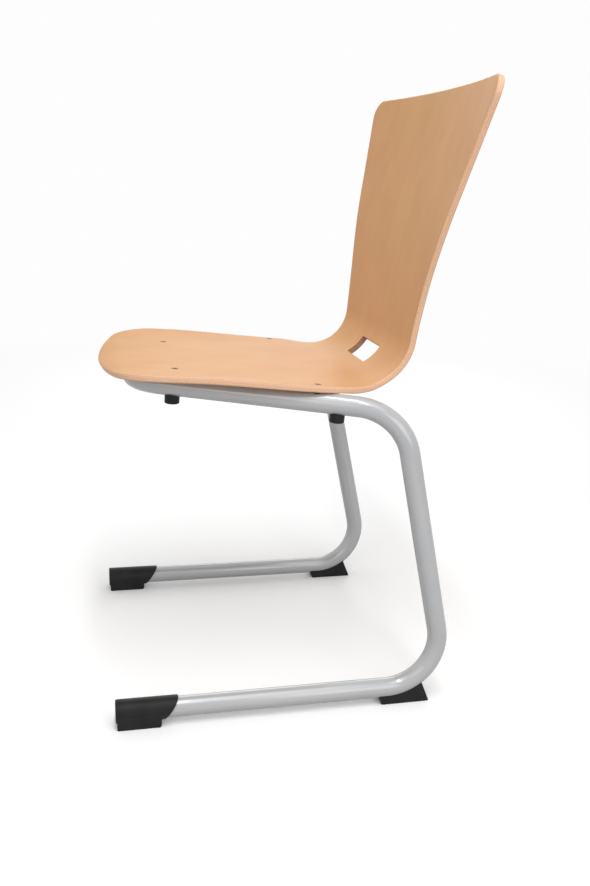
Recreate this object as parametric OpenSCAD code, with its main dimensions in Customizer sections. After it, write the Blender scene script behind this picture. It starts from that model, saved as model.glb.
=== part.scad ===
// Choir chair: a moulded plywood shell bolted to one bent steel tube that stands on two skids.
// Millimetres. The sitter faces -Y, the sitter's left is +X, and the floor is z = 0.
// The seat frame is a tilted frame with its origin where the rails meet the uprights:
// its Y runs back along the rails and its Z stands square on the seat.

/* [Tube frame] */
// Outer diameter of the frame tube
tube_d = 28; // [25:1:30]
// Wall of the frame tube
tube_wall = 2; // [1.5:0.25:2.5]
// Distance between the skids, centre to centre
skid_gauge = 430; // [420:2:446]
// Distance between the rails at the uprights, centre to centre
rail_gauge_rear = 430; // [416:2:440]
// Distance between the rails at the front bar, centre to centre
rail_gauge_front = 163; // [156:1:180]
// Length of a skid, from its front end to its rear corner
skid_len = 470.5; // [458:1:500]
// How far an upright leans forward from floor to seat
upright_lean = 93.5; // [80:0.5:110]
// Rise of an upright, from the skid to the rail
upright_rise = 411.5; // [390:0.5:430]
// Length of a rail, from the upright to the front bar
rail_len = 344; // [338:1:356]
// Rise of the seat towards the front, in degrees
seat_slope = 2.7; // [0:0.1:6]
// Centre line radius of the bend at the floor
floor_bend_r = 73; // [60:1:82]
// Centre line radius of the bend at the seat
seat_bend_r = 77; // [64:1:84]
// Centre line radius of the bends at the front bar
front_bend_r = 57; // [48:1:64]

/* [Cross tube] */
// Outer diameter of the tube that ties the rails together
tie_d = 22; // [18:1:24]
// Wall of the tie tube
tie_wall = 1.5; // [1:0.25:2.5]
// Distance of the tie tube in front of the uprights, along the rails
tie_at = 149; // [138:1:165]

/* [Shell] */
// Thickness of the plywood
ply_t = 9; // [8:0.5:12]
// Rounding of the plywood's edges
ply_edge_r = 2; // [1:0.5:3]
// Width of the seat
seat_w = 372; // [362:1:392]
// Length of the flat part of the seat, between the lip and the bend
seat_flat = 319; // [311:1:340]
// Where the bend begins, in front of the uprights
bend_at = 40; // [36:1:46]
// Radius of the turned-down front lip
lip_r = 60; // [52:1:90]
// Turn of the front lip, in degrees
lip_turn = 33.5; // [20:0.5:38]
// How far the front edge bows forward in the middle
front_bow = 44; // [30:1:50]
// Radius of the front corners
front_corner_r = 77; // [60:1:85]
// Lift of the seat's sides above its flat middle, at the front
seat_dish = 7; // [0:0.5:9]
// Half width of the seat's flat middle
seat_flat_half = 105; // [95:1:115]
// Radius of the bend between seat and back
bend_r = 63; // [57:1:70]
// Lean of the back just above the bend, in degrees
back_lean_low = 5.5; // [2:0.5:9]
// Lean of the back at its top, in degrees
back_lean_top = 16; // [12:0.5:22]
// Radius of the curve between the two leans
back_curve_r = 1085; // [900:5:1400]
// Length of the back above the bend, measured on its face
back_len = 345.5; // [330:0.5:385]
// How far the back's sides stand in front of its middle, at the top
back_dish = 24; // [5:1:34]
// Width of the shell at the waist
waist_w = 314; // [300:1:330]
// Flare of the back's sides, in degrees
flare = 16; // [10:0.5:19]
// Radius of the top corners
top_corner_r = 22.5; // [15:0.5:40]

/* [Hand hole] */
// Width of the hand hole in the bend
hole_w = 88; // [60:1:100]
// Height of the hand hole, measured across the bend
hole_h = 33; // [24:1:36]
// Corner radius of the hand hole
hole_r = 3; // [2:0.5:8]

/* [Seat fixings] */
// Distance of the front screws from the uprights, along the rails
screw_front_at = 291; // [276:1:302]
// Distance of the rear screws from the uprights, along the rails
screw_rear_at = 108.5; // [104:0.5:116]
// Diameter of the screws
screw_d = 5; // [4:0.5:6]
// Length of the screws
screw_len = 20; // [18:1:22]
// Diameter of the screw heads
head_d = 9.5; // [8.5:0.5:12]
// Height of the countersunk heads
head_h = 2.6; // [2:0.1:3.2]
// Thickness of the spacers between rail and shell
spacer_t = 1; // [0.8:0.1:3]
// Diameter of the spacers
spacer_d = 14; // [12:1:22]
// Body diameter of the rivet nuts
nut_d = 7; // [6.5:0.5:8]
// Length of a rivet nut below its flange
nut_len = 11; // [8:0.5:12]
// Diameter of a rivet nut's flange
nut_flange_d = 9.4; // [9:0.2:11]

/* [Stacking bumpers] */
// Diameter of the bumpers under the rails
bumper_d = 20.6; // [16:0.2:22]
// Depth of the bumpers below the rails
bumper_h = 10.5; // [6:0.5:14]
// How far the bumpers reach up round the rails
bumper_saddle = 2; // [0.5:0.5:6]
// Distance of the front bumpers from the uprights, along the rails
bumper_front_at = 293; // [276:1:300]
// Distance of the rear bumpers from the uprights, along the rails
bumper_rear_at = 81; // [79:1:92]
// Rounding of the bumpers' lower rim
bumper_rim_r = 2; // [1:0.5:4]

/* [Front caps] */
// Thickness of the cap around the tube, at its mouth
cap_wall = 1.9; // [1.3:0.1:3]
// How much thicker the cap is round its front
cap_draft = 0.3; // [0:0.1:2.5]
// Thickness of the cap's closed front
cap_front_t = 4.5; // [2:0.5:6]
// Length of the cap's sleeve along its top
cap_top_len = 85; // [74:0.5:95]
// How much shorter the sleeve is along its bottom
cap_slant = 22; // [0:0.5:30]
// Length of the pad under the cap
cap_pad_len = 59.5; // [40:0.5:64]
// Setback of the pad behind the cap's front
cap_pad_set = 2; // [1:0.5:8]
// Width of the pads under the caps
cap_pad_w = 30; // [22:0.5:31]
// Rounding of the cap's front rim and of the pad's ends
cap_round_r = 2.5; // [1:0.5:4]

/* [Rear glides] */
// Height of the tube above the floor
foot_lift = 7.2; // [3:0.1:9]
// Width of the rear glides
glide_w = 24; // [18:0.5:24]
// Length of a glide's sole
glide_len = 71.5; // [54:0.5:74]
// Distance of a glide's rear end in front of the rear corner
glide_at = 28.5; // [26:0.5:36]
// Height of a glide at its rear end
glide_h = 39.5; // [30:0.5:44]
// Rake of a glide's rear end
glide_rake = 16; // [8:1:20]
// Rake of a glide's front end
glide_front_rake = 5.5; // [2:0.5:8]
// Bevel round a glide's sole
glide_bevel = 1.5; // [0.5:0.5:2]
// Diameter of the moulded pegs of glides and bumpers
peg_d = 7.6; // [6:0.2:9]
// Length of those pegs inside the tube
peg_len = 5; // [3:0.5:7]

/* [Hidden] */

// Clearances, and one overrun for all cuts
fit_gap = 0.1;
peg_gap = 0.2;
overrun = 1;

// Grid of the shell: rows in its corners and stretches, and columns across it
corner_rows = 9;
seat_rows = 8;
shoulder_rows = 16;
back_rows = 14;
top_rows = 5;
half_columns = 10;

// Rows of the plywood's rounded edge, as shares of its radius: inset from the edge, and depth
rim_shares = [[1, 0], [0.293, 0.293], [0, 1]];

round_fn = 64;
small_fn = 40;

// The tube's wall thins in a bend by this much on each face, and the straights lap over it
bend_thin = 0.05;
bend_lap = 0.2;

// Recess of a screw head: a hexagon, as shares of the head
key_share = 0.42;
key_depth_share = 0.62;
hex_sides = 6;

// Fade of the seat's dish, from the lip to just ahead of the rear screws
dish_full_at = 112;
dish_none_at = 312;
// The back's dish grows with this power of the way up
dish_growth = 1.46;
// The shoulder narrows ahead of the bend and ends inside it
shoulder_lead = 61;
shoulder_len = 103;
// The flare's straight side would leave the waist here above the bend, and is eased either side
flare_lead = 23.4;
flare_ease = 79.6;
// The edges dip below the middle ahead of the bend, and stand above it inside the bend
shoulder_dip = 2.9;
shoulder_dip_lead = 8;
shoulder_dip_spread = 26;
waist_lift = 2.5;
waist_lift_share = 0.7;
waist_lift_spread = 60;
// Place of the hand hole and direction of its cut, as shares of the bend's turn
hole_place_share = 0.53;
hole_turn_share = 0.65;

tube_r = tube_d / 2;
tube_bore_r = tube_r - tube_wall;
skid_z = foot_lift + tube_r;
rail_z = skid_z + upright_rise;
rail_y = -upright_lean;
seat_top = tube_r + spacer_t + ply_t;
rail_spread = (rail_gauge_rear - rail_gauge_front) / 2;

function unit(v) = v / norm(v);
function rad(a) = a * PI / 180;
function clamp01(t) = min(1, max(0, t));
function smooth(t) = let (c = clamp01(t)) c * c * (3 - 2 * c);

// A point of the seat frame, in the chair's frame with its origin under the rear corners
function from_seat(p) = [
    p[0],
    rail_y + p[1] * cos(seat_slope) + p[2] * sin(seat_slope),
    rail_z - p[1] * sin(seat_slope) + p[2] * cos(seat_slope)
];

// Half gauge of the rails at a distance in front of the uprights
function rail_x(at) = rail_gauge_rear / 2 - rail_spread * at / rail_len;

// Side profile of the shell's upper face, in the seat frame: lip, flat, bend, curve and top
lip_len = lip_r * rad(lip_turn);
quarter_turn = 90;
bend_turn = quarter_turn - back_lean_low + seat_slope;
bend_len = bend_r * rad(bend_turn);
curve_turn = back_lean_top - back_lean_low;
curve_len = back_curve_r * rad(curve_turn);
flat_from = lip_len;
bend_from = flat_from + seat_flat;
curve_from = bend_from + bend_len;
straight_from = curve_from + curve_len;
shell_len = curve_from + back_len;

function along(p, a, l) = p + l * [cos(a), sin(a)];
function round_left(p, a, r, turn) = p + r * [sin(a + turn) - sin(a), cos(a) - cos(a + turn)];
function round_right(p, a, r, turn) = p - r * [sin(a - turn) - sin(a), cos(a) - cos(a - turn)];

bend_point = [-bend_at, seat_top];
flat_point = along(bend_point, 0, -seat_flat);
front_point = flat_point - (round_right([0, 0], lip_turn, lip_r, lip_turn));
curve_point = round_left(bend_point, 0, bend_r, bend_turn);
straight_point = round_right(curve_point, bend_turn, back_curve_r, curve_turn);

function turned(l, r) = l / r * 180 / PI;
function profile_angle(s) =
    s < flat_from ? lip_turn - turned(s, lip_r) :
    s < bend_from ? 0 :
    s < curve_from ? turned(s - bend_from, bend_r) :
    s < straight_from ? bend_turn - turned(s - curve_from, back_curve_r) :
    bend_turn - curve_turn;
function profile_point(s) =
    s < flat_from ? round_right(front_point, lip_turn, lip_r, turned(s, lip_r)) :
    s < bend_from ? along(flat_point, 0, s - flat_from) :
    s < curve_from ? round_left(bend_point, 0, bend_r, turned(s - bend_from, bend_r)) :
    s < straight_from ? round_right(curve_point, bend_turn, back_curve_r, turned(s - curve_from, back_curve_r)) :
    along(straight_point, bend_turn - curve_turn, s - straight_from);

// Outline of the flattened shell: half its width at a distance s from the middle of the front edge
shoulder_from = bend_from - shoulder_lead;
flare_from = curve_from + flare_lead;
flare_rate = tan(flare);
function eased(x, e) = x < -e ? 0 : x > e ? x : (x + e) * (x + e) / (4 * e);
function side_half(s) = seat_w / 2
    + (waist_w - seat_w) / 2 * smooth((s - shoulder_from) / shoulder_len)
    + flare_rate * eased(s - flare_from, flare_ease);

// Front edge: an arc through the bow, with round corners
front_arc_r = (seat_w * seat_w / 4 + front_bow * front_bow) / (2 * front_bow);
front_corner_x = seat_w / 2 - front_corner_r;
front_corner_s = front_arc_r
    - sqrt((front_arc_r - front_corner_r) * (front_arc_r - front_corner_r) - front_corner_x * front_corner_x);
front_corner_turn = atan2(front_arc_r - front_corner_s, front_corner_x);
front_tip_s = front_corner_s - front_corner_r * sin(front_corner_turn);

// Rows of the grid, as places along the side of the outline
function spread(from, to, rows) = [for (k = [1:rows]) from + (to - from) * k / rows];
shoulder_to = curve_from + flare_lead;
top_corner_s = shell_len - top_corner_r;
side_rows = concat(
    spread(front_corner_s, shoulder_from, seat_rows),
    spread(shoulder_from, shoulder_to, shoulder_rows),
    spread(shoulder_to, top_corner_s - top_corner_r * sin(flare), back_rows)
);
front_count = corner_rows + 1;
row_count = front_count + len(side_rows) + top_rows;
column_count = 2 * half_columns + 1;

// Edge point of a row, inset from the outline: [half width, s at the edge, s in the middle]
function front_row(k, inset) =
    let (turn = front_corner_turn * (1 - k / corner_rows),
         r = front_corner_r - inset,
         s = front_corner_s - r * sin(turn))
    [front_corner_x + r * cos(turn), s, s - (front_tip_s) * (1 - k / corner_rows)];
function side_row(s, inset) = [side_half(s) - inset, s, s];
function top_row(k, inset) =
    let (turn = -flare + (quarter_turn + flare) * k / top_rows,
         centre_x = side_half(top_corner_s) - top_corner_r / cos(flare),
         r = top_corner_r - inset,
         s = top_corner_s + r * sin(turn))
    [centre_x + r * cos(turn), s, s];
function row(i, inset) =
    i < front_count ? front_row(i, inset) :
    i < front_count + len(side_rows) ? side_row(side_rows[i - front_count], inset) :
    top_row(i - front_count - len(side_rows) + 1, inset);

// Lift of the face away from the middle, square on the profile
function bell(x, spread) = exp(-x * x / (spread * spread));
function lift(s, x) =
    let (side = clamp01((abs(x) - seat_flat_half) / (seat_w / 2 - seat_flat_half)),
         fade = smooth((dish_none_at - s) / (dish_none_at - dish_full_at)),
         out = x / side_half(s))
    seat_dish * fade * side * side + out * out * (
        waist_lift * bell(s - bend_from - bend_len * waist_lift_share, waist_lift_spread)
        - shoulder_dip * bell(s - bend_from + shoulder_dip_lead, shoulder_dip_spread));

// Lift of the back's sides, level and towards the sitter
function back_lift(s, x) =
    let (up = clamp01((s - bend_from) / (shell_len - bend_from)),
         out = x / side_half(s))
    back_dish * pow(up, dish_growth) * out * out * [-cos(seat_slope), -sin(seat_slope)];

// A point of the shell at a row and column, inset from the outline and below the face
function shell_point(i, j, inset, depth) =
    let (r = row(i, inset),
         u = (j - half_columns) / half_columns,
         x = r[0] * u,
         s = r[2] + (r[1] - r[2]) * u * u,
         a = profile_angle(s),
         p = profile_point(s) + (lift(s, x) - depth) * [-sin(a), cos(a)] + back_lift(s, x))
    [x, p[0], p[1]];

// The grid's border, once round: front row, right side, top row, left side
border = concat(
    [for (j = [0:column_count - 1]) [0, j]],
    [for (i = [1:row_count - 1]) [i, column_count - 1]],
    [for (j = [1:column_count - 1]) [row_count - 1, column_count - 1 - j]],
    [for (i = [1:row_count - 2]) [row_count - 1 - i, 0]]
);

// Rows round the plywood's edge: [inset from the outline, depth below the face]
rim_rows = concat(
    [for (q = rim_shares) q * ply_edge_r],
    [for (k = [1:len(rim_shares)])
        let (q = rim_shares[len(rim_shares) - k] * ply_edge_r) [q[0], ply_t - q[1]]]
);

// The chair's origin is below the middle of its footprint, from the foremost point of lip and caps
// to the top of the back
function rim_y(i) = [for (q = rim_rows) from_seat(shell_point(i, half_columns, q[0], q[1]))[1]];
front_y = min(min(rim_y(0)), -skid_len - cap_front_t);
rear_y = max(rim_y(row_count - 1));
origin_y = -(front_y + rear_y) / 2;

module chair_frame() {
    translate([0, origin_y, 0])
        children();
}

module seat_frame() {
    chair_frame()
        translate([0, rail_y, rail_z])
            rotate([-seat_slope, 0, 0])
                children();
}

// Places children on both rails at a distance in front of the uprights
module on_rails(at) {
    for (side = [-1, 1])
        seat_frame()
            translate([side * rail_x(at), -at, 0])
                children();
}

module mirrored(side) {
    if (side > 0)
        children();
    else
        mirror([1, 0, 0])
            children();
}

// Path of the frame tube through its corners, from the left skid's front end to the right one's
corner_lift = from_seat([rail_gauge_front / 2, -rail_len, 0]);
half_path = [
    [skid_gauge / 2, -skid_len, skid_z],
    [skid_gauge / 2, 0, skid_z],
    [rail_gauge_rear / 2, rail_y, rail_z],
    corner_lift
];
path = concat(half_path, [for (k = [0:len(half_path) - 1]) let (p = half_path[len(half_path) - 1 - k]) [-p[0], p[1], p[2]]]);
bend_radii = [0, floor_bend_r, seat_bend_r, front_bend_r, front_bend_r, seat_bend_r, floor_bend_r, 0];

function heading(i) = unit(path[i + 1] - path[i]);
function corner_turn(i) = acos(heading(i - 1) * heading(i));
function corner_trim(i) = bend_radii[i] == 0 ? 0 : bend_radii[i] * tan(corner_turn(i) / 2);
function across(a, b) = unit(b - a * (a * b));

// A frame with the given axes and origin
module axes(x, y, z, o) {
    multmatrix([
        [x[0], y[0], z[0], o[0]],
        [x[1], y[1], z[1], o[1]],
        [x[2], y[2], z[2], o[2]],
        [0, 0, 0, 1]
    ])
        children();
}

// A bend of the path, round the next corner, as children turned about its centre
module bend(i) {
    d = heading(i);
    n = across(d, heading(i + 1));
    axes(-n, d, cross(-n, d), path[i + 1] - d * corner_trim(i + 1) + n * bend_radii[i + 1])
        rotate_extrude(angle = corner_turn(i + 1), $fn = round_fn)
            translate([bend_radii[i + 1], 0])
                children();
}

// A straight of the path, as children placed at its start with their Z along it
module straight(i) {
    d = heading(i);
    x = across(d, abs(d[0]) > 0.9 ? [0, 1, 0] : [1, 0, 0]);
    axes(x, cross(d, x), d, path[i] + d * corner_trim(i))
        children();
}
function straight_len(i) = norm(path[i + 1] - path[i]) - corner_trim(i) - corner_trim(i + 1);

// Round bar along the path, as a cutter
module bent_bar(r, from, to) {
    for (i = [from:to]) {
        straight(i)
            cylinder(h = straight_len(i), r = r, $fn = round_fn);
        if (i < to)
            bend(i)
                circle(r = r, $fn = round_fn);
    }
}

// Block that fills the inner side of the path, up to the middle of its tube, as a cutter
module inner_side(from, to) {
    for (i = [from:to]) {
        straight(i)
            translate([-tube_d, -tube_d, 0])
                cube([2 * tube_d, tube_d, straight_len(i)]);
        if (i < to)
            bend(i)
                translate([-tube_d, -tube_d])
                    square([tube_d, 2 * tube_d]);
    }
}

// Hollow tube along the path: the bends' thinned wall laps inside the straights' ends
module bent_tube() {
    last = len(path) - 2;
    for (i = [0:last])
        straight(i)
            translate([0, 0, i == 0 ? 0 : -bend_lap])
                difference() {
                    length = straight_len(i) + (i == 0 || i == last ? 1 : 2) * bend_lap;
                    cylinder(h = length, r = tube_r, $fn = round_fn);
                    translate([0, 0, -overrun])
                        cylinder(h = length + 2 * overrun, r = tube_bore_r, $fn = round_fn);
                }
    for (i = [0:last - 1])
        bend(i)
            difference() {
                circle(r = tube_r - bend_thin, $fn = round_fn);
                circle(r = tube_bore_r + bend_thin, $fn = round_fn);
            }
}

// Moulded plywood shell: seat, back, lip and hand hole in one sheet
module seat_shell() {
    rim = [for (k = [1:len(rim_rows) - 2]) rim_rows[k]];
    grid = row_count * column_count;
    ring = len(border);
    top = [for (i = [0:row_count - 1]) for (j = [0:column_count - 1]) shell_point(i, j, ply_edge_r, 0)];
    rings = [for (q = rim) for (b = border) shell_point(b[0], b[1], q[0], q[1])];
    bottom = [for (i = [0:row_count - 1]) for (j = [0:column_count - 1]) shell_point(i, j, ply_edge_r, ply_t)];
    low = grid + len(rim) * ring;
    function at(k, b) =
        k == 0 ? border[b][0] * column_count + border[b][1] :
        k > len(rim) ? low + border[b][0] * column_count + border[b][1] :
        grid + (k - 1) * ring + b;
    face_tris = [for (i = [0:row_count - 2]) for (j = [0:column_count - 2])
        let (a = i * column_count + j, b = a + 1, c = a + column_count, d = c + 1)
        each [[a, c, b], [b, c, d]]];
    under_tris = [for (t = face_tris) [low + t[0], low + t[2], low + t[1]]];
    rim_tris = [for (k = [0:len(rim)]) for (b = [0:ring - 1])
        let (n = (b + 1) % ring)
        each [[at(k, b), at(k, n), at(k + 1, b)], [at(k, n), at(k + 1, n), at(k + 1, b)]]];
    color("burlywood")
        difference() {
            seat_frame()
                polyhedron(points = concat(top, rings, bottom), faces = concat(face_tris, rim_tris, under_tris));
            hand_hole();
            screw_holes();
        }
}

// Cutter of the hand hole, through the bend
module hand_hole() {
    p = profile_point(bend_from + bend_len * hole_place_share);
    seat_frame()
        translate([0, p[0], p[1]])
            rotate([bend_turn * hole_turn_share, 0, 0])
                translate([0, 0, -bend_r])
                    linear_extrude(height = bend_r + ply_t)
                        rounded_plate(hole_w, hole_h, hole_r);
}

// Rectangle with round corners, centred
module rounded_plate(w, h, r) {
    square([w, h - 2 * r], center = true);
    square([w - 2 * r, h], center = true);
    for (x = [-1, 1], y = [-1, 1])
        translate([x * (w / 2 - r), y * (h / 2 - r)])
            circle(r = r, $fn = small_fn);
}

// Countersunk holes for the screws
module screw_holes() {
    for (at = [screw_front_at, screw_rear_at])
        on_rails(at) {
            cylinder(h = seat_top + overrun, d = screw_d + 2 * peg_gap, $fn = small_fn);
            translate([0, 0, seat_top - head_h])
                cylinder(h = head_h, d1 = screw_d + 2 * peg_gap, d2 = head_d + 2 * peg_gap, $fn = small_fn);
            translate([0, 0, seat_top])
                cylinder(h = ply_t, d = head_d + 2 * peg_gap, $fn = small_fn);
        }
}

// One bent tube: skids, uprights, rails and front bar
module frame_tube() {
    color("silver")
        difference() {
            chair_frame()
                bent_tube();
            for (at = [screw_front_at, screw_rear_at])
                on_rails(at)
                    cylinder(h = tube_d, d = nut_d + 2 * fit_gap, $fn = small_fn);
            for (at = [bumper_front_at, bumper_rear_at])
                on_rails(at)
                    translate([0, 0, -tube_d])
                        cylinder(h = tube_d, d = peg_d + 2 * peg_gap, $fn = small_fn);
            for (side = [-1, 1])
                chair_frame()
                    translate([side * skid_gauge / 2, -peg_at, 0])
                        cylinder(h = skid_z, d = peg_d + 2 * peg_gap, $fn = small_fn);
        }
}

// Tie tube between the rails, its ends coped to them
module tie_tube() {
    color("silver")
        difference() {
            seat_frame()
                translate([0, -tie_at, 0])
                    rotate([0, 90, 0])
                        difference() {
                            cylinder(h = 2 * rail_x(tie_at), d = tie_d, center = true, $fn = round_fn);
                            cylinder(h = 2 * rail_x(tie_at) + overrun, d = tie_d - 2 * tie_wall, center = true, $fn = round_fn);
                        }
            chair_frame() {
                bent_bar(tube_r + fit_gap, 2, 2);
                bent_bar(tube_r + fit_gap, 4, 4);
            }
        }
}

// Countersunk screws with a hexagon recess, flush with the seat
module seat_screws() {
    color("dimgray")
        for (at = [screw_front_at, screw_rear_at])
            on_rails(at)
                translate([0, 0, seat_top])
                    difference() {
                        union() {
                            translate([0, 0, -head_h])
                                cylinder(h = head_h, d1 = screw_d, d2 = head_d, $fn = small_fn);
                            translate([0, 0, -screw_len])
                                cylinder(h = screw_len - head_h, d = screw_d, $fn = small_fn);
                        }
                        translate([0, 0, -head_h * key_depth_share])
                            cylinder(h = head_h, d = head_d * key_share, $fn = hex_sides);
                    }
}

// Rivet nuts in the rails
module rivet_nuts() {
    color("lightgray")
        for (at = [screw_front_at, screw_rear_at])
            on_rails(at)
                difference() {
                    union() {
                        translate([0, 0, tube_r])
                            cylinder(h = spacer_t - fit_gap, d = nut_flange_d, $fn = small_fn);
                        translate([0, 0, tube_r - nut_len])
                            cylinder(h = nut_len, d = nut_d, $fn = small_fn);
                    }
                    translate([0, 0, tube_r - nut_len - overrun])
                        cylinder(h = nut_len + spacer_t + 2 * overrun, d = screw_d + 2 * fit_gap, $fn = small_fn);
                }
}

// Spacers saddled on the rails, under the shell
module rail_spacers() {
    color("black")
        difference() {
            for (at = [screw_front_at, screw_rear_at])
                on_rails(at)
                    difference() {
                        cylinder(h = tube_r + spacer_t - fit_gap, d = spacer_d, $fn = small_fn);
                        translate([0, 0, -overrun])
                            cylinder(h = tube_d, d = nut_flange_d + 2 * peg_gap, $fn = small_fn);
                    }
            chair_frame() {
                bent_bar(tube_r + fit_gap, 2, 2);
                bent_bar(tube_r + fit_gap, 4, 4);
            }
        }
}

// Round bumper under a rail, with a peg into the tube
module bumper(side, at) {
    color("black")
        mirrored(side) {
            difference() {
                seat_frame()
                    translate([rail_x(at), -at, -tube_r - bumper_h])
                        rotate_extrude($fn = round_fn)
                            bumper_profile();
                chair_frame()
                    bent_bar(tube_r + fit_gap, 2, 2);
            }
            seat_frame()
                translate([rail_x(at), -at, -tube_r - fit_gap - overrun])
                    cylinder(h = tube_wall + peg_len + fit_gap + overrun, d = peg_d, $fn = small_fn);
        }
}

// Half section of a bumper, from its foot to the top of its saddle
module bumper_profile() {
    height = bumper_h + bumper_saddle;
    square([bumper_d / 2 - bumper_rim_r, height]);
    translate([0, bumper_rim_r])
        square([bumper_d / 2, height - bumper_rim_r]);
    intersection() {
        translate([bumper_d / 2 - bumper_rim_r, bumper_rim_r])
            circle(r = bumper_rim_r, $fn = small_fn);
        square([bumper_d / 2, height]);
    }
}

module bumper_front_left() bumper(1, bumper_front_at);
module bumper_front_right() bumper(-1, bumper_front_at);
module bumper_rear_left() bumper(1, bumper_rear_at);
module bumper_rear_right() bumper(-1, bumper_rear_at);

// Cap on a skid's front end: a sleeve with a slanted mouth and a flat pad below
module front_cap(side) {
    outer_r = tube_r + cap_wall;
    front_y = -skid_len - cap_front_t;
    color("black")
        mirrored(side)
            chair_frame()
                translate([skid_gauge / 2, front_y, 0])
                    difference() {
                        union() {
                            translate([0, 0, skid_z])
                                rotate([-90, 0, 0])
                                    rotate_extrude($fn = round_fn)
                                        sleeve_profile(outer_r, cap_top_len);
                            translate([-cap_pad_w / 2, cap_pad_set, 0])
                                rotate([90, 0, 90])
                                    linear_extrude(height = cap_pad_w)
                                        pad_profile(cap_pad_len, skid_z);
                        }
                        translate([0, cap_front_t, skid_z])
                            rotate([-90, 0, 0])
                                cylinder(h = cap_top_len, r = tube_r + fit_gap, $fn = round_fn);
                        translate([0, cap_top_len, skid_z + outer_r])
                            rotate([-atan(cap_slant / (2 * outer_r)), 0, 0])
                                translate([-tube_d, 0, -2 * tube_d])
                                    cube([2 * tube_d, cap_top_len, 3 * tube_d]);
                    }
}

// Half section of the sleeve: tapered to its mouth, with a round front rim
module sleeve_profile(r, length) {
    front_r = r + cap_draft;
    polygon([
        [0, 0],
        [front_r - cap_round_r, 0],
        [front_r - cap_round_r, cap_round_r],
        [front_r, cap_round_r],
        [r, length],
        [0, length]
    ]);
    translate([front_r - cap_round_r, cap_round_r])
        circle(r = cap_round_r, $fn = small_fn);
}

// Side view of the pad: flat sole, round lower ends
module pad_profile(length, height) {
    translate([0, cap_round_r])
        square([length, height - cap_round_r]);
    translate([cap_round_r, 0])
        square([length - 2 * cap_round_r, height]);
    for (y = [cap_round_r, length - cap_round_r])
        translate([y, cap_round_r])
            circle(r = cap_round_r, $fn = small_fn);
}

module front_cap_left() front_cap(1);
module front_cap_right() front_cap(-1);

// Where a glide's peg enters the skid, in front of the rear corner
peg_at = glide_at + glide_len - glide_front_rake - peg_d;

// Wedge under the floor bend, cut to the tube, with a peg into it
module rear_glide(side) {
    heel = -glide_at;
    toe = heel - glide_len;
    color("black")
        mirrored(side)
            chair_frame() {
                difference() {
                    translate([skid_gauge / 2 - glide_w / 2, 0, 0])
                        rotate([90, 0, 90])
                            linear_extrude(height = glide_w)
                                polygon([
                                    [toe + glide_bevel, 0],
                                    [heel - glide_bevel, 0],
                                    [heel, glide_bevel],
                                    [heel - glide_rake, glide_h],
                                    [toe - glide_front_rake, skid_z],
                                    [toe, glide_bevel]
                                ]);
                    bent_bar(tube_r + fit_gap, 0, 1);
                    inner_side(0, 1);
                }
                translate([skid_gauge / 2, -peg_at, overrun])
                    cylinder(h = foot_lift + tube_wall + peg_len - overrun, d = peg_d, $fn = small_fn);
            }
}

module rear_glide_left() rear_glide(1);
module rear_glide_right() rear_glide(-1);

seat_shell();
frame_tube();
tie_tube();
seat_screws();
rivet_nuts();
rail_spacers();
bumper_front_left();
bumper_front_right();
bumper_rear_left();
bumper_rear_right();
front_cap_left();
front_cap_right();
rear_glide_left();
rear_glide_right();
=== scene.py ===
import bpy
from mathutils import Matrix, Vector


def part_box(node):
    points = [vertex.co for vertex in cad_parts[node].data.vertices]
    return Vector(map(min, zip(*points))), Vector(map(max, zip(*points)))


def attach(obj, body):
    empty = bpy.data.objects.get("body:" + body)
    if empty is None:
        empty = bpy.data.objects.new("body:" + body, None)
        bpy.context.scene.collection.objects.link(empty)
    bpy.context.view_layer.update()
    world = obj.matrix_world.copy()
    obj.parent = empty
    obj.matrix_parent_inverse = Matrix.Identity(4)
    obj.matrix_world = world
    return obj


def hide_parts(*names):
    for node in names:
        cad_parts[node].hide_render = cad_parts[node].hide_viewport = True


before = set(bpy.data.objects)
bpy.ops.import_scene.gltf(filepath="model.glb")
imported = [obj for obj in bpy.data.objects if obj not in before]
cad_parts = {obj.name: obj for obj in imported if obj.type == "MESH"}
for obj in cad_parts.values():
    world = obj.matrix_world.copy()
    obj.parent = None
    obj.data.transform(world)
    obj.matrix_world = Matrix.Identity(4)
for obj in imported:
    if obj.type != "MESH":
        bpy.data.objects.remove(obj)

"""Choir chair: a moulded beech shell on one bent silver tube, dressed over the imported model.

Lengths are millimetres until a mesh is made, and lamps are placed in metres.
The sitter faces -Y, their left is +X, and the floor is z = 0.
The shell is drawn in its flat state, x across and s back along its middle, and bent by shell_point().
"""

import bpy
import numpy as np
from mathutils import Matrix, Vector

MM = 0.001
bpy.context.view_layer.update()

# Tube frame, the sizes that carry the shell
TUBE_R = 14.0
FOOT_LIFT = 7.2
SKID_LEN = 470.5
UPRIGHT_LEAN = 93.5
UPRIGHT_RISE = 411.5
RAIL_HALF_REAR, RAIL_HALF_FRONT, RAIL_LEN = 215.0, 81.5, 344.0
RAIL_Z = FOOT_LIFT + TUBE_R + UPRIGHT_RISE
SEAT_SLOPE = np.radians(2.7)
ORIGIN_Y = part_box("frame_tube")[0].y / MM + SKID_LEN

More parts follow.
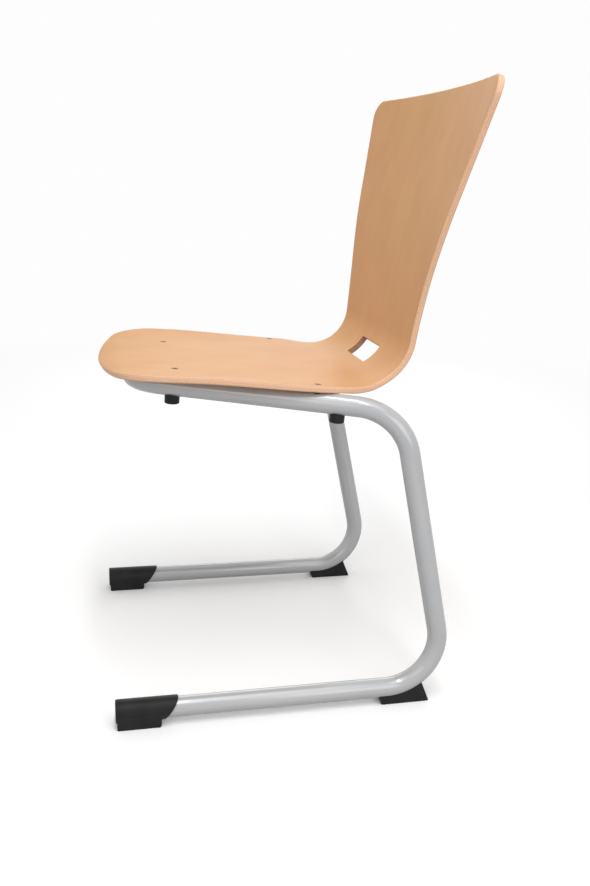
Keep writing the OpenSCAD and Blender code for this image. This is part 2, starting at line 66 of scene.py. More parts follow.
# Shell
PLY_T = 9.0
PLIES = 6
PLY_EDGE_R = 2.0
SPACER_T = 1.0
SEAT_TOP = TUBE_R + SPACER_T + PLY_T
SEAT_HALF = 186.0
SEAT_FLAT = 319.0
BEND_AT = 40.0
LIP_R = 60.0
LIP_TURN = np.radians(33.5)
FRONT_BOW = 44.0
FRONT_CORNER_R = 77.0
SEAT_DISH = 7.0
SEAT_FLAT_HALF = 105.0
BEND_R = 63.0
LEAN_LOW = np.radians(5.5)
LEAN_TOP = np.radians(16)
BACK_CURVE_R = 1085.0
BACK_LEN = 345.5
BACK_DISH = 24.0
WAIST_HALF = 157.0
FLARE = np.radians(16)
TOP_CORNER_R = 22.5
DISH_FULL_AT, DISH_NONE_AT = 112.0, 312.0
DISH_GROWTH = 1.46
SHOULDER_LEAD, SHOULDER_LEN = 61.0, 103.0
FLARE_LEAD, FLARE_EASE = 23.4, 79.6
SHOULDER_DIP, SHOULDER_DIP_LEAD, SHOULDER_DIP_SPREAD = 2.9, 8.0, 26.0
WAIST_LIFT, WAIST_LIFT_SHARE, WAIST_LIFT_SPREAD = 2.5, 0.7, 60.0

# Side profile of the shell's upper face, in the tilted frame of the seat
LIP_LEN = LIP_R * LIP_TURN
BEND_TURN = np.radians(90) - LEAN_LOW + SEAT_SLOPE
BEND_LEN = BEND_R * BEND_TURN
CURVE_TURN = LEAN_TOP - LEAN_LOW
BEND_FROM = LIP_LEN + SEAT_FLAT
CURVE_FROM = BEND_FROM + BEND_LEN
STRAIGHT_FROM = CURVE_FROM + BACK_CURVE_R * CURVE_TURN
SHELL_LEN = CURVE_FROM + BACK_LEN

# Hand hole: its cut, its rounded edge, the rings of faces round it and the window that they fill.
# CUT_STEPS and CUT_REACH are the Newton steps that find the cut and the reach of their slope.
HOLE_W, HOLE_H, HOLE_R = 88.0, 33.0, 3.0
HOLE_PLACE_SHARE, HOLE_TURN_SHARE = 0.53, 0.65
HOLE_AT = BEND_FROM + BEND_LEN * HOLE_PLACE_SHARE
HOLE_EDGE_R = 0.7
HOLE_RINGS = (8.0, 4.5, 2.0)
HOLE_WINDOW = (HOLE_W / 2 + 10.0, HOLE_H / 2 + 13.0)
HOLE_SIDE_POINTS, HOLE_CORNER_POINTS = 12, 7
HOLE_EDGE_POINTS, HOLE_WALL_STEPS = 4, 6
CUT_STEPS, CUT_REACH = 12, 0.5

# Countersunk screw holes: their mouths, the rings of faces round them and the window that they fill
SCREWS_AT = (291.0, 108.5)
HEAD_R, HEAD_H, SHANK_R, SCREW_GAP = 4.75, 2.6, 2.5, 0.2
MOUTH_OUT, MOUTH_IN, MOUTH_DEEP = 0.3, 0.2, 0.5
SCREW_RING_R, SCREW_FACE_R, SCREW_UNDER_R = 7.2, 6.0, 5.0
SCREW_WINDOW = (7.6, 7.6)
SCREW_POINTS = 48

# Grid of the shell: rows in each stretch, columns across half of it, and steps round its edge
CORNER_ROWS, SEAT_ROWS, SHOULDER_ROWS, BACK_ROWS, TOP_ROWS = 14, 40, 44, 64, 9
HALF_COLUMNS = 32
RIM_STEPS = 4

# Colours in linear light. Where there are two, a pattern runs from the first to the second.
GOLD_BEECH = (0.70, 0.408, 0.192, 1), (0.645, 0.356, 0.162, 1)
ROSE_BEECH = (0.715, 0.401, 0.197, 1), (0.657, 0.348, 0.168, 1)
RAY_FLECK = (0.38, 0.185, 0.085, 1)
END_GRAIN = (0.88, 0.54, 0.35, 1), (0.74, 0.42, 0.25, 1)
LONG_GRAIN = (0.93, 0.61, 0.42, 1), (0.83, 0.51, 0.33, 1)
GLUE_LINE = (0.42, 0.21, 0.12, 1)
# Painted shade: a dark brown that stands in for the shade on the hand hole's wall
HOLE_WALL_PAINTED_SHADE = (0.20, 0.10, 0.055, 1)
SILVER_COAT = (0.478, 0.481, 0.489, 1), (0.54, 0.543, 0.551, 1)
BLACK_MOULDING = (0.012, 0.012, 0.012, 1), (0.019, 0.019, 0.019, 1)
ZINC_PLATE = (0.50, 0.49, 0.47, 1), (0.66, 0.65, 0.62, 1)
BURNISHED_STEEL = (0.13, 0.095, 0.075, 1), (0.24, 0.18, 0.14, 1)
WHITE = (1, 1, 1, 1)
PAPER_WHITE = (0.985, 0.985, 0.985, 1)
FLOOR_GREY = (0.42, 0.42, 0.42, 1)

# Room: the floor's half width, its glow, where it turns to paper white, and the strength of the world
FLOOR_HALF = 15000.0
FLOOR_GLOW = 0.05
PAPER_FROM, PAPER_FULL = 1200.0, 3000.0
WORLD_STRENGTH = 0.66

# Camera, found from the photograph: place, azimuth, downward pitch, roll and focal length
CAMERA_AT = np.array([1288.45, -485.88 + ORIGIN_Y, 720.4]) * MM
CAMERA_AZIMUTH, CAMERA_PITCH, CAMERA_ROLL = np.radians([77.03, 16.49, 2.07])
CAMERA_LENS, CAMERA_SENSOR, CAMERA_CLIP = 36.09, 36.0, 50.0


def arc(start, angle, radius, turn, side):
    """Point reached from start, heading at angle, on an arc that turns left (side 1) or right (-1)."""
    end = angle + side * turn
    return np.stack([start[0] + side * radius * (np.sin(end) - np.sin(angle)),
                     start[1] + side * radius * (np.cos(angle) - np.cos(end))], -1)


def profile(s):
    """Points (y, z) and heading of the profile at lengths s.

    A lip arc, the flat, the bend's arc, a wide arc and a straight follow each other at a tangent.
    """
    bend = np.array([-BEND_AT, SEAT_TOP])
    flat = bend - [SEAT_FLAT, 0]
    front = flat - arc((0, 0), LIP_TURN, LIP_R, LIP_TURN, -1)
    curve = arc(bend, 0, BEND_R, BEND_TURN, 1)
    top = arc(curve, BEND_TURN, BACK_CURVE_R, CURVE_TURN, -1)
    lean = BEND_TURN - CURVE_TURN
    lip_turned = s / LIP_R
    bend_turned = (s - BEND_FROM) / BEND_R
    curve_turned = (s - CURVE_FROM) / BACK_CURVE_R
    stretches = [
        (s < LIP_LEN, arc(front, LIP_TURN, LIP_R, lip_turned, -1), LIP_TURN - lip_turned),
        (s < BEND_FROM, flat + np.stack([s - LIP_LEN, 0 * s], -1), 0 * s),
        (s < CURVE_FROM, arc(bend, 0, BEND_R, bend_turned, 1), bend_turned),
        (s < STRAIGHT_FROM, arc(curve, BEND_TURN, BACK_CURVE_R, curve_turned, -1),
         BEND_TURN - curve_turned),
    ]
    point = top + (s - STRAIGHT_FROM)[..., None] * np.array([np.cos(lean), np.sin(lean)])
    heading = lean + 0 * s
    for inside, stretch_point, stretch_heading in reversed(stretches):
        point = np.where(inside[..., None], stretch_point, point)
        heading = np.where(inside, stretch_heading, heading)
    return point, heading


def smooth(t):
    """Ease from 0 to 1: 3 t squared minus 2 t cubed, held outside 0 to 1."""
    t = np.clip(t, 0, 1)
    return t * t * (3 - 2 * t)


def bell(x, spread):
    """Bell curve: e to the minus square of x over its spread."""
    return np.exp(-(x / spread) ** 2)


def side_half(s):
    """Half width: the seat's, eased to the waist, plus the flare's straight line with a rounded start.

    The rounded start is the square of (over + ease) over 4 ease, within one ease of the flare's place.
    """
    over = s - (CURVE_FROM + FLARE_LEAD)
    rounded = (over + FLARE_EASE) ** 2 / (4 * FLARE_EASE)
    eased = np.where(over < -FLARE_EASE, 0, np.where(over > FLARE_EASE, over, rounded))
    waist = (WAIST_HALF - SEAT_HALF) * smooth((s - BEND_FROM + SHOULDER_LEAD) / SHOULDER_LEN)
    return SEAT_HALF + waist + np.tan(FLARE) * eased


def shell_point(x, s, depth):
    """Bends the flat shell: profile point, plus dish less depth along its normal, plus the back's dish.

    The seat's dish grows with the square of the way from its flat middle to its side. The waist's lift,
    the shoulder's dip and the back's dish grow with the square of x over the half width, and the back's
    dish also with the share of the way from the bend to the top, to the power of its growth.
    """
    p, a = profile(s)
    out = (x / side_half(s)) ** 2
    side = np.clip((np.abs(x) - SEAT_FLAT_HALF) / (SEAT_HALF - SEAT_FLAT_HALF), 0, 1)
    dish = SEAT_DISH * smooth((DISH_NONE_AT - s) / (DISH_NONE_AT - DISH_FULL_AT)) * side ** 2
    dish += out * WAIST_LIFT * bell(s - BEND_FROM - BEND_LEN * WAIST_LIFT_SHARE, WAIST_LIFT_SPREAD)
    dish -= out * SHOULDER_DIP * bell(s - BEND_FROM + SHOULDER_DIP_LEAD, SHOULDER_DIP_SPREAD)
    up = np.clip((s - BEND_FROM) / (SHELL_LEN - BEND_FROM), 0, 1)
    level = BACK_DISH * up ** DISH_GROWTH * out
    y = p[..., 0] - (dish - depth) * np.sin(a) - level * np.cos(SEAT_SLOPE)
    z = p[..., 1] + (dish - depth) * np.cos(a) - level * np.sin(SEAT_SLOPE)
    return np.stack([
        x,
        ORIGIN_Y - UPRIGHT_LEAN + y * np.cos(SEAT_SLOPE) + z * np.sin(SEAT_SLOPE),
        RAIL_Z - y * np.sin(SEAT_SLOPE) + z * np.cos(SEAT_SLOPE)], -1)


def outline_rows(inset):
    """Rows of the flat shell, inset from its outline: half width, s at the edge, s in the middle.

    The front edge is an arc through its bow, with round corners. The sides follow side_half().
    The top is straight, with round corners.
    """
    arc_r = (SEAT_HALF ** 2 + FRONT_BOW ** 2) / (2 * FRONT_BOW)
    corner_x = SEAT_HALF - FRONT_CORNER_R
    corner_s = arc_r - np.sqrt((arc_r - FRONT_CORNER_R) ** 2 - corner_x ** 2)
    corner_turn = np.arctan2(arc_r - corner_s, corner_x)
    tip = corner_s - FRONT_CORNER_R * np.sin(corner_turn)
    left = 1 - np.arange(CORNER_ROWS + 1) / CORNER_ROWS
    r = FRONT_CORNER_R - inset
    edge = corner_s - r * np.sin(corner_turn * left)
    front = np.stack([corner_x + r * np.cos(corner_turn * left), edge, edge - tip * left], -1)

    shoulder = BEND_FROM - SHOULDER_LEAD
    waist = CURVE_FROM + FLARE_LEAD
    centre_s = SHELL_LEN - TOP_CORNER_R
    s = np.concatenate([
        np.linspace(corner_s, shoulder, SEAT_ROWS + 1)[1:],
        np.linspace(shoulder, waist, SHOULDER_ROWS + 1)[1:],
        np.linspace(waist, centre_s - TOP_CORNER_R * np.sin(FLARE), BACK_ROWS + 1)[1:]])
    sides = np.stack([side_half(s) - inset, s, s], -1)

    turn = -FLARE + (np.pi / 2 + FLARE) * np.arange(1, TOP_ROWS + 1) / TOP_ROWS
    centre_x = side_half(np.array(centre_s)) - TOP_CORNER_R / np.cos(FLARE)
    r = TOP_CORNER_R - inset
    s = centre_s + r * np.sin(turn)
    top = np.stack([centre_x + r * np.cos(turn), s, s], -1)
    return np.concatenate([front, sides, top])


def flat_grid(inset):
    """x and s of the grid: half width times u, and s from the middle to the edge with u squared."""
    half, edge_s, middle_s = outline_rows(inset).T[..., None]
    u = np.linspace(-1, 1, 2 * HALF_COLUMNS + 1)
    return half * u, middle_s + (edge_s - middle_s) * u ** 2


def border(grid):
    """The values of a grid once round its border: front, right side, top, left side."""
    return np.concatenate([grid[0], grid[1:, -1], grid[-1, -2::-1], grid[-2:0:-1, 0]])


def quarter_round(radius, points):
    """Inset and depth along a round edge: radius times 1 less the sine, and times 1 less the cosine."""
    turn = np.linspace(0, np.pi / 2, points)
    return list(zip(radius * (1 - np.sin(turn)), radius * (1 - np.cos(turn))))


def rim_rings():
    """Rings of x, s and depth round the shell's own edge, from its face to its under face."""
    upper = quarter_round(PLY_EDGE_R, RIM_STEPS + 1)[1:]
    lower = [(inset, PLY_T - depth) for inset, depth in upper[::-1]]
    rings = []
    for inset, depth in upper + lower:
        x, s = flat_grid(inset)
        rings.append(np.stack([border(x), border(s), border(0 * x + depth)], -1))
    return np.array(rings)


def slot_outline(grow):
    """A rectangle with round corners, grown outwards: (x, height) once round, counterclockwise."""
    w, h, r = HOLE_W / 2 + grow, HOLE_H / 2 + grow, HOLE_R + grow
    corners = [(w - r, h - r), (r - w, h - r), (r - w, r - h), (w - r, r - h)]
    side_ends = [(r - w, h), (-w, r - h), (w - r, -h), (w, h - r)]
    points = []
    for k, (centre, side_end) in enumerate(zip(corners, side_ends)):
        turn = np.linspace(0, np.pi / 2, HOLE_CORNER_POINTS) + k * np.pi / 2
        corner = np.array(centre) + r * np.stack([np.cos(turn), np.sin(turn)], -1)
        along = np.linspace(0, 1, HOLE_SIDE_POINTS)[1:-1, None]
        points += [corner, corner[-1] + along * (np.array(side_end) - corner[-1])]
    return np.concatenate(points)


def cut_place(height, depth):
    """Flat place s of points at a depth: Newton steps until each has its height in the straight cut."""
    centre, _ = profile(np.array(HOLE_AT))
    turn = BEND_TURN * HOLE_TURN_SHARE
    rise = np.array([np.cos(turn), np.sin(turn)])

    def height_at(s):
        p, a = profile(s)
        return (p + depth * np.stack([np.sin(a), -np.cos(a)], -1) - centre) @ rise

    s = HOLE_AT + height
    for _ in range(CUT_STEPS):
        slope = (height_at(s + CUT_REACH) - height_at(s - CUT_REACH)) / (2 * CUT_REACH)
        s = s - (height_at(s) - height) / slope
    return s


def hole_rings():
    """The hand hole's rings of x, s and depth: face, round edge, wall, round edge and under face."""
    mouth = [(grow, 0.0) for grow in HOLE_RINGS] + quarter_round(HOLE_EDGE_R, HOLE_EDGE_POINTS)
    wall = [(0.0, PLY_T * k / HOLE_WALL_STEPS) for k in range(1, HOLE_WALL_STEPS)]
    under = [(grow, PLY_T - depth) for grow, depth in mouth[::-1]]
    rings = []
    for grow, depth in mouth + wall + under:
        x, height = slot_outline(grow).T
        rings.append(np.stack([x, cut_place(height, depth), 0 * x + depth], -1))
    return np.array(rings)


def screw_rings(x0, s0):
    """A countersunk screw hole's rings: circles of x, s and depth round the screw."""
    wide, narrow = HEAD_R + SCREW_GAP, SHANK_R + SCREW_GAP
    rings = [
        (SCREW_RING_R, 0), (SCREW_FACE_R, 0), (wide + MOUTH_OUT, 0), (wide, MOUTH_OUT / 2),
        (wide - MOUTH_IN, MOUTH_DEEP), (narrow, HEAD_H), (narrow, PLY_T - MOUTH_IN),
        (narrow + MOUTH_OUT, PLY_T), (SCREW_UNDER_R, PLY_T), (SCREW_RING_R, PLY_T)]
    r, depth = np.array(rings).T[..., None]
    turn = np.linspace(-np.pi, np.pi, SCREW_POINTS, endpoint=False)
    return np.stack([x0 + r * np.cos(turn), s0 + r * np.sin(turn), depth + 0 * turn], -1)


def shell_holes():
    """The holes of the flat shell: middle, half sizes of the window that is left for them, and rings."""
    holes = [((0.0, HOLE_AT), HOLE_WINDOW, hole_rings())]
    for at in SCREWS_AT:
        rail = RAIL_HALF_REAR - (RAIL_HALF_REAR - RAIL_HALF_FRONT) * at / RAIL_LEN
        for side in (-1, 1):
            middle = (side * rail, BEND_FROM + BEND_AT - at)
            holes.append((middle, SCREW_WINDOW, screw_rings(*middle)))
    return holes


def window(x, s, middle, reach):
    """Rows and columns of the grid that just hold a box of half sizes reach round the middle."""
    row_s = s[:, HALF_COLUMNS + int(np.sign(middle[0]) * HALF_COLUMNS // 2)]
    i0 = np.where(row_s < middle[1] - reach[1])[0][-1]
    i1 = np.where(row_s > middle[1] + reach[1])[0][0]
    j0 = np.where((x[i0:i1 + 1] < middle[0] - reach[0]).all(0))[0][-1]
    j1 = np.where((x[i0:i1 + 1] > middle[0] + reach[0]).all(0))[0][0]
    return i0, i1, j0, j1


def ring_quads(rings):
    """Quads between each closed ring of vertex numbers and the next one."""
    a, b = rings[:-1], rings[1:]
    return np.stack([a, np.roll(a, -1, 1), np.roll(b, -1, 1), b], -1).reshape(-1, 4)


def in_turn(loop, place, middle):
    """A loop's vertex numbers and angles round the middle, in the order of the angles, once round."""
    angle = np.arctan2(place[:, 1] - middle[1], place[:, 0] - middle[0])
    order = np.argsort(angle)
    return np.append(loop[order], loop[order[0]]), np.append(angle[order], angle[order[0]] + 2 * np.pi)


def zipper(outer, inner):
    """Triangles between two loops in turn: each side meets the vertex that the other loop has reached."""
    (a, a_angle), (b, b_angle) = outer, inner
    reached_b = np.searchsorted(b_angle[1:], a_angle[1:], side="right")
    reached_a = np.searchsorted(a_angle[1:], b_angle[1:], side="left")
    return np.concatenate([np.stack([a[:-1], a[1:], b[reached_b]], -1),
                           np.stack([a[reached_a], b[1:], b[:-1]], -1)])


def numbered(rings, first):
    """Vertex numbers of stacked rings, counted from first."""
    return first + np.arange(rings.shape[0] * rings.shape[1]).reshape(rings.shape[:2])


def shell_parts():
    """Vertices as x, s, depth and faces of the shell: two grids, the rim between them, and the holes."""
    x, s = flat_grid(PLY_EDGE_R)
    count = x.size
    numbers = np.arange(count).reshape(x.shape)
    face = np.stack([x, s, 0 * x], -1).reshape(-1, 3)
    rim = rim_rings()
    places = [face, face + [0, 0, PLY_T], rim.reshape(-1, 3)]
    edge = border(numbers)
    rim_numbers = numbered(rim, 2 * count)
    faces = [ring_quads(np.concatenate([[edge], rim_numbers, [edge + count]]))[:, ::-1]]
    total = 2 * count + rim_numbers.size

    kept = np.ones((x.shape[0] - 1, x.shape[1] - 1), bool)
    for middle, reach, rings in shell_holes():
        i0, i1, j0, j1 = window(x, s, middle, reach)
        kept[i0:i1, j0:j1] = False
        outer = border(numbers[i0:i1 + 1, j0:j1 + 1])
        outer_loop, outer_angle = in_turn(outer, face[outer], middle)
        ring_numbers = numbered(rings, total)
        total += ring_numbers.size
        places.append(rings.reshape(-1, 3))
        upper = zipper((outer_loop, outer_angle), in_turn(ring_numbers[0], rings[0], middle))
        lower = zipper((outer_loop + count, outer_angle), in_turn(ring_numbers[-1], rings[-1], middle))
        faces += [ring_quads(ring_numbers), upper, lower[:, ::-1]]

    a, b = numbers[:-1, :-1][kept], numbers[:-1, 1:][kept]
    c, d = numbers[1:, :-1][kept], numbers[1:, 1:][kept]
    faces += [np.stack([a, b, d, c], -1), np.stack([a, c, d, b], -1) + count]
    return np.concatenate(places), faces


def make_mesh(name, vertices, faces):
    """A smooth mesh object from vertices in millimetres and arrays of faces."""
    mesh = bpy.data.meshes.new(name)
    mesh.from_pydata((vertices * MM).tolist(), [], [face for part in faces for face in part.tolist()])
    mesh.polygons.foreach_set("use_smooth", np.ones(len(mesh.polygons), bool))
    mesh.update()
    obj = bpy.data.objects.new(name, mesh)
    bpy.context.scene.collection.objects.link(obj)
    return obj


def make_shell():
    """The smooth plywood shell, with its flat place and ply depth kept for the material, in metres."""
    place, faces = shell_parts()
    shell = make_mesh("beech_shell", shell_point(*place.T), faces)
    flat = shell.data.attributes.new("flat_place", "FLOAT_VECTOR", "POINT")
    flat.data.foreach_set("vector", (place * MM).astype(np.float32).ravel())
    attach(shell, "root")
    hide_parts("seat_shell")
    return shell


# Places of the colour sockets on a Mix node
MIX_LOW, MIX_HIGH, MIX_RESULT = 6, 7, 2


class Value:
    """A socket of a shader: arithmetic on it adds Math nodes."""

    def __init__(self, shader, socket):
        self.shader = shader
        self.socket = socket

    def math(self, operation, *others, clamp=False):
        settings = {"operation": operation, "use_clamp": clamp}
        return self.shader.node("Math", settings, dict(enumerate((self,) + others)))

    def __add__(self, other):
        return self.math("ADD", other)

    def __sub__(self, other):
        return self.math("SUBTRACT", other)

    def __rsub__(self, other):
        return self.shader.node("Math", {"operation": "SUBTRACT"}, {0: other, 1: self})

    def __mul__(self, other):
        return self.math("MULTIPLY", other)

    def __abs__(self):
        return self.math("ABSOLUTE")

    __radd__ = __add__
    __rmul__ = __mul__

    def ramp(self, low, high):
        """0 below low and 1 above high, eased between them."""
        sockets = {"Value": self, "From Min": low, "From Max": high}
        return self.shader.node("MapRange", {"interpolation_type": "SMOOTHSTEP"}, sockets, "Result")

    def mix(self, low, high):
        """The colour low at 0, the colour high at 1."""
        sockets = {"Factor": self, MIX_LOW: low, MIX_HIGH: high}
        return self.shader.node("Mix", {"data_type": "RGBA"}, sockets, MIX_RESULT)


class Shader:
    """A node tree, with one method that adds any node."""

    def __init__(self, tree):
        self.tree = tree

    def fill(self, node, sockets):
        """Links each socket to its Value, or sets it to its plain value."""
        for key, value in sockets.items():
            if isinstance(value, Value):
                self.tree.links.new(value.socket, node.inputs[key])
            else:
                node.inputs[key].default_value = value

    def node(self, kind, settings, sockets, *outputs):
        """Adds a node: its settings first, then its sockets. Gives the outputs asked for, or the first."""
        node = self.tree.nodes.new("ShaderNode" + kind)
        for name, setting in settings.items():
            setattr(node, name, setting)
        self.fill(node, sockets)
        values = [Value(self, node.outputs[key]) for key in outputs or (0,)]
        return values[0] if len(values) == 1 else values

    def place(self):
        """The place in the object's own frame, in metres."""
        return self.node("TexCoord", {}, {}, "Object")

    def split(self, vector):
        """The three numbers of a vector."""
        return self.node("SeparateXYZ", {}, {0: vector}, 0, 1, 2)

    def noise(self, vector, scale=1.0, detail=2.0, roughness=0.5):
        """Noise at a vector, from 0 to 1."""
        sockets = {"Vector": vector, "Scale": scale, "Detail": detail, "Roughness": roughness}
        return self.node("TexNoise", {}, sockets, "Fac")

    def bump(self, height, distance):
        """Normal of a surface that rises by height times distance, in millimetres."""
        return self.node("Bump", {}, {"Height": height, "Distance": distance * MM, "Strength": 1})

    def blend(self, factor, low, high):
        """The surface low at 0, the surface high at 1."""
        return self.node("MixShader", {}, {0: factor, 1: low, 2: high})

    def seen_rays(self):
        """1 for the camera's own rays and for those by way of gloss or glass, else 0."""
        names = ("Is Camera Ray", "Is Glossy Ray", "Is Transmission Ray")
        camera, gloss, glass = self.node("LightPath", {}, {}, *names)
        return (camera + gloss).math("ADD", glass, clamp=True)


def beech_finish(shader):
    """Lacquered beech veneer on the faces, the plies with their glue lines on the edges, and painted shade
    on the hand hole's wall.
    """
    flat_place = shader.node("Attribute", {"attribute_name": "flat_place"}, {}, "Vector")
    x, s, depth = shader.split(flat_place)

    def figure(across, back, through, shift=0, **settings):
        """Noise on the flat shell, at so many waves per metre each way."""
        sockets = {0: x * across + shift, 1: s * back, 2: depth * through}
        return shader.noise(shader.node("CombineXYZ", {}, sockets), **settings)

    clouds = figure(16, 9, 40, detail=4, roughness=0.6)
    bands = figure(55, 3, 40, detail=3, roughness=0.6)
    fibres = figure(1000, 22, 200, detail=3, roughness=0.65)
    rays = figure(1100, 240, 200, detail=1).ramp(0.66, 0.78)
    hue = figure(9, 6, 40, shift=5, detail=3).ramp(0.35, 0.65)
    tone = (clouds * 0.7 + bands * 0.15 + fibres * 0.2).ramp(0.3, 0.78)
    veneer = hue.mix(tone.mix(*GOLD_BEECH), tone.mix(*ROSE_BEECH))
    veneer = (rays * 0.25).mix(veneer, RAY_FLECK)

    layer = depth * (PLIES / (PLY_T * MM))
    cross_ply = abs((layer * 0.5).math("FRACT") - 0.5).ramp(0.2, 0.3)
    glue = abs(layer.math("FRACT") - 0.5).ramp(0.43, 0.49)
    grain = shader.noise(shader.place(), scale=420, detail=4, roughness=0.7)
    streaks = grain.ramp(0.3, 0.8)
    plies = cross_ply.mix(streaks.mix(*END_GRAIN), streaks.mix(*LONG_GRAIN))
    plies = (glue * 0.18).mix(plies, GLUE_LINE)

    # Painted shade: the hand hole's wall is darkened towards dark brown, broken up by the grain
    in_width = (HOLE_W * MM / 2 - abs(x)).ramp(-0.8 * MM, -0.4 * MM)
    in_height = (HOLE_H * MM / 2 - abs(s - HOLE_AT * MM)).ramp(-8.0 * MM, -7.6 * MM)
    hole_wall_shade_mask = (in_width * in_height).math("MULTIPLY", grain * 0.6 + 0.45, clamp=True)
    plies = hole_wall_shade_mask.mix(plies, HOLE_WALL_PAINTED_SHADE)

    below_face = PLY_T * MM / 2 - abs(depth - PLY_T * MM / 2)
    return {
        "Base Color": below_face.ramp(0.2 * MM, 0.6 * MM).mix(veneer, plies),
        "Roughness": fibres * 0.12 + 0.42,
        "Specular IOR Level": 0.06,
        "Normal": shader.bump(fibres - rays * 0.6, 0.04)}


def powder_coat_finish(shader):
    """Silver powder coat: a fine fleck, a slow drift of tone and a slight orange peel."""
    fleck = shader.noise(shader.place(), scale=2600)
    drift = shader.noise(shader.place(), scale=7)
    peel = shader.noise(shader.place(), scale=420)
    return {
        "Base Color": (fleck * 0.6 + drift * 0.4).ramp(0.3, 0.7).mix(*SILVER_COAT),
        "Metallic": 0.2,
        "Roughness": fleck * 0.05 + 0.15,
        "Specular IOR Level": 0.1,
        "Normal": shader.bump(peel, 0.02)}


def moulding_finish(shader):
    """Black moulded plastic with a fine grain."""
    grain = shader.noise(shader.place(), scale=1600, detail=3)
    drift = shader.noise(shader.place(), scale=30, detail=3)
    return {
        "Base Color": drift.ramp(0.3, 0.7).mix(*BLACK_MOULDING),
        "Roughness": drift * 0.12 + 0.40,
        "Specular IOR Level": 0.18,
        "Normal": shader.bump(grain, 0.08)}


def zinc_finish(shader):
    """Zinc plated steel, faintly mottled."""
    mottle = shader.noise(shader.place(), scale=500, detail=4, roughness=0.7)
    return {
        "Base Color": mottle.mix(*ZINC_PLATE),
        "Metallic": 1.0,
        "Roughness": mottle * 0.2 + 0.28}


def burnished_finish(shader):
    """Dark burnished steel, rubbed a little lighter in patches."""
    rubbed = shader.noise(shader.place(), scale=900, detail=3, roughness=0.6)
    return {
        "Base Color": rubbed.ramp(0.45, 0.8).mix(*BURNISHED_STEEL),
        "Metallic": 0.6,
        "Roughness": rubbed * 0.25 + 0.4,
        "Specular IOR Level": 0.3}


def new_material(name, finish):
    """A material whose principled shader takes the sockets that a finish works out."""
    material = bpy.data.materials.new(name)
    material.use_nodes = True
    shader = Shader(material.node_tree)
    shader.fill(material.node_tree.nodes["Principled BSDF"], finish(shader))
    return material


def dress(material, *nodes):
    """Gives CAD nodes a material."""
    for name in nodes:
        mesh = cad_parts[name].data
        mesh.materials.clear()
        mesh.materials.append(material)


def make_camera():
    """A camera at its place, looking along the azimuth and pitch, rolled about its axis."""
    az, el, roll = CAMERA_AZIMUTH, CAMERA_PITCH, CAMERA_ROLL
    back = Vector((np.sin(az) * np.cos(el), -np.cos(az) * np.cos(el), np.sin(el)))
    level = (-back).cross(Vector((0, 0, 1))).normalized()
    upright = level.cross(-back)
    right = level * np.cos(roll) + upright * np.sin(roll)
    up = upright * np.cos(roll) - level * np.sin(roll)
    camera = bpy.data.cameras.new("photo_view")
    camera.sensor_width = CAMERA_SENSOR
    camera.lens = CAMERA_LENS
    camera.clip_start = CAMERA_CLIP * MM
    obj = bpy.data.objects.new("photo_view", camera)
    obj.matrix_world = Matrix.Translation(CAMERA_AT) @ Matrix((right, up, back)).transposed().to_4x4()
    bpy.context.scene.collection.objects.link(obj)
    bpy.context.scene.camera = obj


def area_lamp(name, place, target, size, watts):
    """A rectangular lamp at a place, facing a target, itself unseen."""
    lamp = bpy.data.lights.new(name, "AREA")
    lamp.shape = "RECTANGLE"
    lamp.size, lamp.size_y = size
    lamp.energy = watts
    obj = bpy.data.objects.new(name, lamp)
    obj.location = place
    obj.rotation_euler = (Vector(target) - Vector(place)).to_track_quat("-Z", "Y").to_euler()
    obj.visible_camera = False
    bpy.context.scene.collection.objects.link(obj)


def make_world():
    """An even white room: seen rays find paper white, the others a softer light."""
    world = bpy.data.worlds.new("white_room")
    bpy.context.scene.world = world
    world.use_nodes = True
    shader = Shader(world.node_tree)
    background = world.node_tree.nodes["Background"]
    shader.fill(background, {"Color": WHITE, "Strength": WORLD_STRENGTH})
    light = Value(shader, background.outputs[0])
    paper = shader.node("Background", {}, {"Color": PAPER_WHITE})
    room = shader.blend(shader.seen_rays(), light, paper)
    shader.fill(world.node_tree.nodes["World Output"], {"Surface": room})


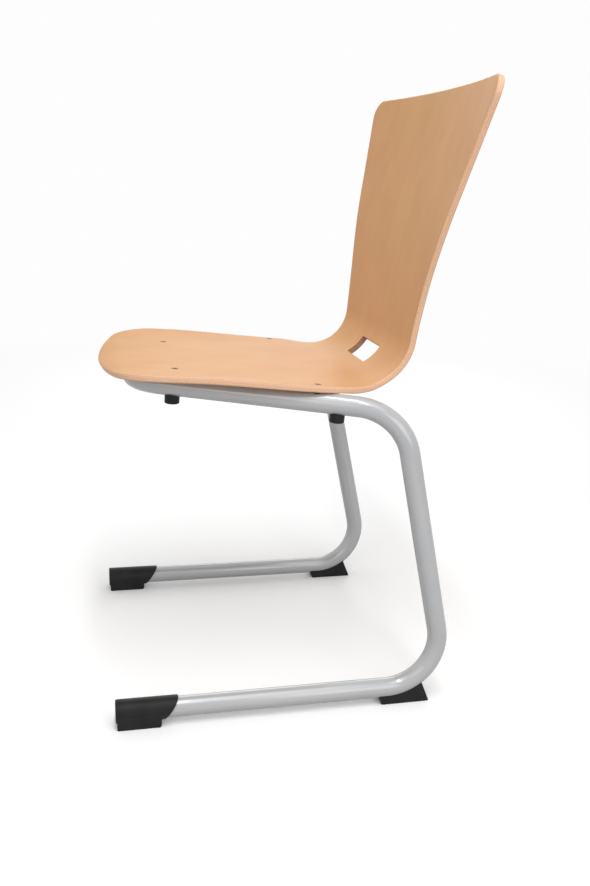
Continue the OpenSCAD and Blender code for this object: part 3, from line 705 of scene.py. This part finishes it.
def make_floor():
    """A floor that is white for seen rays, with the shadow kept and a faint glow, and grey for others.

    Further out it turns to the paper white of the world.
    """
    corners = np.array([[-1, -1, 0], [1, -1, 0], [1, 1, 0], [-1, 1, 0]]) * FLOOR_HALF
    floor = make_mesh("floor", corners, [np.array([[0, 1, 2, 3]])])
    matt = {"Roughness": 0.95, "Specular IOR Level": 0}
    material = new_material("paper_floor", lambda shader: {"Base Color": FLOOR_GREY, **matt})
    shader = Shader(material.node_tree)
    grey = Value(shader, material.node_tree.nodes["Principled BSDF"].outputs[0])
    glow = {"Emission Color": WHITE, "Emission Strength": FLOOR_GLOW}
    white = shader.node("BsdfPrincipled", {}, {"Base Color": WHITE, **matt, **glow})
    paper = shader.node("Emission", {}, {"Color": PAPER_WHITE})
    x, y, _ = shader.split(shader.place())
    far = (x * x + y * y).math("SQRT").ramp(PAPER_FROM * MM, PAPER_FULL * MM)
    seen = shader.seen_rays()
    surface = shader.blend(far * seen, shader.blend(seen, grey, white), paper)
    shader.fill(material.node_tree.nodes["Material Output"], {"Surface": surface})
    floor.data.materials.append(material)


beech = new_material("beech_ply", beech_finish)
coat = new_material("silver_coat", powder_coat_finish)
moulding = new_material("black_moulding", moulding_finish)
zinc = new_material("zinc_plate", zinc_finish)
burnished = new_material("dark_steel", burnished_finish)
make_shell().data.materials.append(beech)
dress(beech, "seat_shell")
dress(coat, "frame_tube", "tie_tube")
dress(burnished, "seat_screws")
dress(zinc, "rivet_nuts")
dress(moulding, "rail_spacers", "bumper_front_left", "bumper_front_right", "bumper_rear_left",
      "bumper_rear_right", "front_cap_left", "front_cap_right", "rear_glide_left", "rear_glide_right")

make_camera()
make_world()
make_floor()
area_lamp("key", place=(1.15, 0, 2.6), target=(0, -0.05, 0.45), size=(1.9, 1.9), watts=13)
area_lamp("top", place=(0.95, -0.1, 2.65), target=(0.2, -0.1, 0.2), size=(0.16, 1.7), watts=14)
area_lamp("side", place=(1.3, 0.6, 0.7), target=(0.2, 0.1, 0.2), size=(0.8, 0.8), watts=3)
area_lamp("rim", place=(-2.4, 0.65, 1.35), target=(0, -0.05, 0.45), size=(1.4, 1.3), watts=11)
area_lamp("fill", place=(1.7, -1.1, 1.1), target=(0, 0, 0.3), size=(1.0, 1.0), watts=3.2)

bpy.context.scene.view_settings.view_transform = "Standard"
